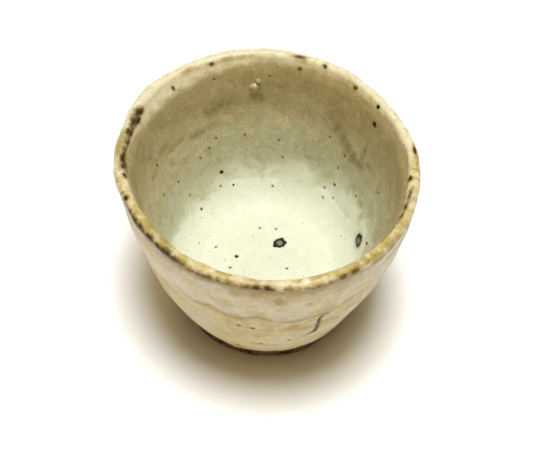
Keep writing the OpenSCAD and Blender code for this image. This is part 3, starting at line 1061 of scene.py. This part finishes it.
def build_spots(surface):
    points, faces, core, faint = [], [], [], []
    marks = [(x, y, d, *BIG_DOME, 0) for x, y, d in BIG_SPOTS]
    marks += [(x, y, d, *SPOT_DOME, 0) for x, y, d in SPOTS]
    marks += [(x, y, d, *SPOT_DOME, SPOT_FAINT) for x, y, d in FAINT_SPOTS]
    marks += [(x, y, SPECK_D, *SPECK_DOME, SPECK_FAINT) for x, y in SPECKS]
    for i, (x, y, d, rings, dome, brown) in enumerate(marks):
        place, normal = seen_at(surface, x, y)
        new_points, new_faces, new_core = spot(place, normal, d * MM, 100 + i, rings, dome)
        base = len(points)
        points += [tuple(p) for p in new_points]
        faces += [tuple(base + v for v in f) for f in new_faces]
        core += list(np.array(new_core) * (1.0 if i < len(BIG_SPOTS) else SMALL_CORE))
        faint += [brown] * len(new_points)
    return add_mesh("iron_marks", np.array(points), faces, {"core": core, "faint": faint})


# Glaze beads on the inner wall: pixel of the photograph, diameter in millimetres
BEADS = [(254.5, 87, 3.1), (258.5, 81, 1.8)]
BEAD_SIDES = 36
BEAD_RINGS = 14
# Lowest ring of a bead as a share of a half turn, and a bead's height and lift as shares of its radius
BEAD_LOWEST = -0.35
BEAD_HEIGHT = 0.85
BEAD_LIFT = 0.1


def build_beads(surface):
    points, faces = [], []
    angle = np.linspace(0, 2 * math.pi, BEAD_SIDES, endpoint=False)
    for i, (x, y, d) in enumerate(BEADS):
        place, normal = seen_at(surface, x, y)
        across, along = side_axes(normal)
        radius = d * MM / 2
        base = len(points)
        squash = 1 + 0.05 * ring_waves(angle, (2, 3), 60 + i)
        for tilt in np.linspace(BEAD_LOWEST, 0.5 - 0.5 / BEAD_RINGS, BEAD_RINGS) * math.pi:
            height = radius * (BEAD_HEIGHT * math.sin(tilt) + BEAD_LIFT)
            for a, wide in zip(angle, squash):
                side = radius * math.cos(tilt) * wide
                aside = across * (side * math.cos(a)) + along * (side * math.sin(a))
                points.append(place + aside + normal * height)
        faces += [tuple(base + v for v in f) for f in ring_faces(BEAD_RINGS, BEAD_SIDES, False)]
        last = base + (BEAD_RINGS - 1) * BEAD_SIDES
        faces.append(tuple(range(base + BEAD_SIDES - 1, base - 1, -1)))
        faces.append(tuple(range(last, last + BEAD_SIDES)))
    return add_mesh("glaze_drops", np.array([tuple(p) for p in points]), faces, {})


# Studio
FLOOR_HALF = 1.5
CUP_MIDDLE = Vector((0, 0, CUP_H / 2))
KEY_PLACE = Vector((0.03, -0.015, 0.8))
KEY_SIZE = 0.33
KEY_POWER = 5.95
KEY_COLOUR = (0.94, 0.965, 1.0)
WORLD_COLOUR = (1.0, 0.76, 0.36)
# Strength of the fill from all round, and how much more of it comes from near the horizon and from the front
WORLD_STRENGTH = 0.06
HORIZON_STRENGTH = 0.2
FRONT_STRENGTH = 0.86
# Way to the middle of the front's light, and the cosines from it where that light begins and is full
FRONT_WAY = (-0.5, -0.866, 0)
FRONT_FROM = (-0.3, 0.8)
# Height of the horizon's light, as the sine of its elevation
HORIZON_HIGH = 0.45
PAPER = (0.94, 0.94, 0.94)
# How much paler the camera sees the floor than the cup does
PAPER_GAIN = 1.62
# Where the floor fades to plain white, from the middle of the cup
WHITE_FROM = (0.1, 0.34)


def build_floor():
    corners = np.array([(-1, -1, 0), (1, -1, 0), (1, 1, 0), (-1, 1, 0)]) * FLOOR_HALF
    floor = add_mesh("floor", corners, [(0, 1, 2, 3)], {})
    n = Nodes("floor_paper")
    rays = n.tree.nodes.new("ShaderNodeLightPath").outputs
    mirrored = n.math("MAXIMUM", rays["Is Glossy Ray"], rays["Is Transmission Ray"])
    seen = n.math("MAXIMUM", rays["Is Camera Ray"], mirrored)
    tone = n.mix(seen, PAPER, tuple(c * PAPER_GAIN for c in PAPER))
    length = n.tree.nodes.new("ShaderNodeVectorMath")
    length.operation = "LENGTH"
    n.tree.links.new(n.place(), length.inputs[0])
    white = n.math("MULTIPLY", seen, n.step(length.outputs["Value"], *WHITE_FROM))
    paper = n.finish(
        Base_Color=tone,
        Roughness=0.9,
        Specular_IOR_Level=0.0,
        Emission_Color=(1, 1, 1),
        Emission_Strength=white,
    )
    floor.data.materials.append(paper)


def build_key():
    key = bpy.data.lights.new("key", "AREA")
    key.shape = "DISK"
    key.size = KEY_SIZE
    key.energy = KEY_POWER
    key.color = KEY_COLOUR
    lamp = bpy.data.objects.new("key", key)
    lamp.location = KEY_PLACE
    lamp.rotation_euler = (CUP_MIDDLE - KEY_PLACE).to_track_quat("-Z", "Y").to_euler()
    bpy.context.scene.collection.objects.link(lamp)


def build_world():
    world = bpy.data.worlds.new("studio")
    bpy.context.scene.world = world
    world.use_nodes = True
    tree = world.node_tree
    background = tree.nodes["Background"]
    background.inputs["Color"].default_value = (*WORLD_COLOUR, 1)
    way = tree.nodes.new("ShaderNodeTexCoord").outputs["Generated"]
    up = tree.nodes.new("ShaderNodeSeparateXYZ")
    tree.links.new(way, up.inputs[0])
    towards = tree.nodes.new("ShaderNodeVectorMath")
    towards.operation = "DOT_PRODUCT"
    tree.links.new(way, towards.inputs[0])
    towards.inputs[1].default_value = FRONT_WAY
    ahead = tree.nodes.new("ShaderNodeMapRange")
    ahead.interpolation_type = "SMOOTHSTEP"
    tree.links.new(towards.outputs["Value"], ahead.inputs["Value"])
    ahead.inputs["From Min"].default_value = FRONT_FROM[0]
    ahead.inputs["From Max"].default_value = FRONT_FROM[1]
    ahead.inputs["To Min"].default_value = WORLD_STRENGTH + HORIZON_STRENGTH
    ahead.inputs["To Max"].default_value = WORLD_STRENGTH + HORIZON_STRENGTH + FRONT_STRENGTH
    fill = tree.nodes.new("ShaderNodeMapRange")
    fill.interpolation_type = "SMOOTHSTEP"
    tree.links.new(up.outputs["Z"], fill.inputs["Value"])
    fill.inputs["From Max"].default_value = HORIZON_HIGH
    tree.links.new(ahead.outputs[0], fill.inputs["To Min"])
    fill.inputs["To Max"].default_value = WORLD_STRENGTH
    tree.links.new(fill.outputs[0], background.inputs["Strength"])


def dress(piece, node, material):
    piece.data.materials.append(material)
    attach(piece, "root")
    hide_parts(node)


build_camera()
coats = build_coats()
cup_surface = surface_of(coats)
paint(coats, cup_surface, "burn", BURNS + crawl_marks(CRAWL_BURN))
paint(coats, cup_surface, "olive", olive_marks())
paint(coats, cup_surface, "smear", SMEARS)
paint(coats, cup_surface, "wash", WASHES)
paint(coats, cup_surface, "pale_and_lit", PALE_AND_LIT_PATCHES)
paint(coats, cup_surface, "halo", halo_marks())
raise_relief(coats, cup_surface)
inner, lip, outer, upper = coats
dress(build_clay(), "clay_body", clay_material("bare_stoneware"))
dress(inner, "inner_glaze", glaze_material("pool_glaze", *POOL_FINISH))
dress(lip, "rim_glaze", glaze_material("iron_lip", *LIP_FINISH))
dress(outer, "outer_glaze", glaze_material("wall_glaze", *WALL_FINISH))
dress(upper, "upper_glaze", glaze_material("white_glaze", *WALL_FINISH))
dress(build_spots(cup_surface), "iron_spots", iron_material("iron_melt"))
dress(build_beads(cup_surface), "glaze_beads", bead_material("bead_glaze"))
build_floor()
build_key()
build_world()
bpy.context.scene.view_settings.view_transform = "Standard"
